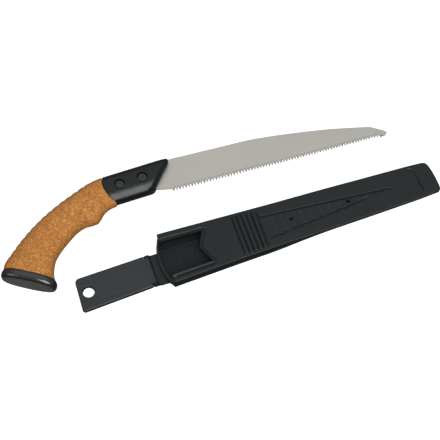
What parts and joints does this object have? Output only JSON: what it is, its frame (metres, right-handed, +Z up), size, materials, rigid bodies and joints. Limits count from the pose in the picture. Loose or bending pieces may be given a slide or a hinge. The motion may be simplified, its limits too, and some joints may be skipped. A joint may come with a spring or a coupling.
{
  "type": "pruning saw with scabbard",
  "caption": "Fixed-blade pruning saw with a curved cork pistol grip, black ferrule and flared butt cap, beside its moulded black scabbard with a hinged belt hanger.",
  "frame": {"origin": "bottom centre of the whole set as it lies: saw and scabbard side by side on the ground plane", "axes": "+X from the grip towards the blade tip, parallel to the scabbard's centre line; +Y from the scabbard towards the saw; +Z up, out of the window side of the scabbard"},
  "size_m": [0.4624, 0.1354, 0.0299],
  "materials": {
    "blade_steel": "satin ground",
    "black_moulding": "satin moulded",
    "cork": "sanded agglomerate cork",
    "core_wood": "raw",
    "gloss_cap": "polished",
    "plain_steel": "zinc plated",
    "dark_steel": "blackened",
    "pad_rubber": "pebbled"
  },
  "bodies": {
    "saw": {"saw_blade": "blade_steel", "ferrule": "black_moulding", "cork_grip": "cork", "handle_core": "core_wood", "butt_cap": "gloss_cap", "cap_stud": "plain_steel", "washer_rear": "dark_steel", "blade_screw_rear": "plain_steel", "blade_nut_rear": "plain_steel", "washer_front": "dark_steel", "blade_screw_front": "plain_steel", "blade_nut_front": "plain_steel"},
    "sheath": {"sheath_front_shell": "black_moulding", "sheath_back_shell": "black_moulding", "floor_pad": "pad_rubber", "hanger_pin": "dark_steel", "shell_screw_1": "dark_steel", "shell_screw_2": "dark_steel", "shell_screw_3": "dark_steel", "shell_screw_4": "dark_steel", "shell_screw_5": "dark_steel", "shell_screw_6": "dark_steel"},
    "hanger": {"belt_hanger": "black_moulding"}
  },
  "joints": [
    {"name": "blade_draw", "type": "slide", "parent": "saw", "child": "sheath", "axis": [1, 0, 0], "range_m": [0, 0.24]},
    {"name": "hanger_hinge", "type": "hinge", "parent": "sheath", "child": "hanger", "pos_m": [-0.08296, -0.04274, 0.0036], "axis": [0, 1, 0], "range_deg": [0, 100]}
  ]
}
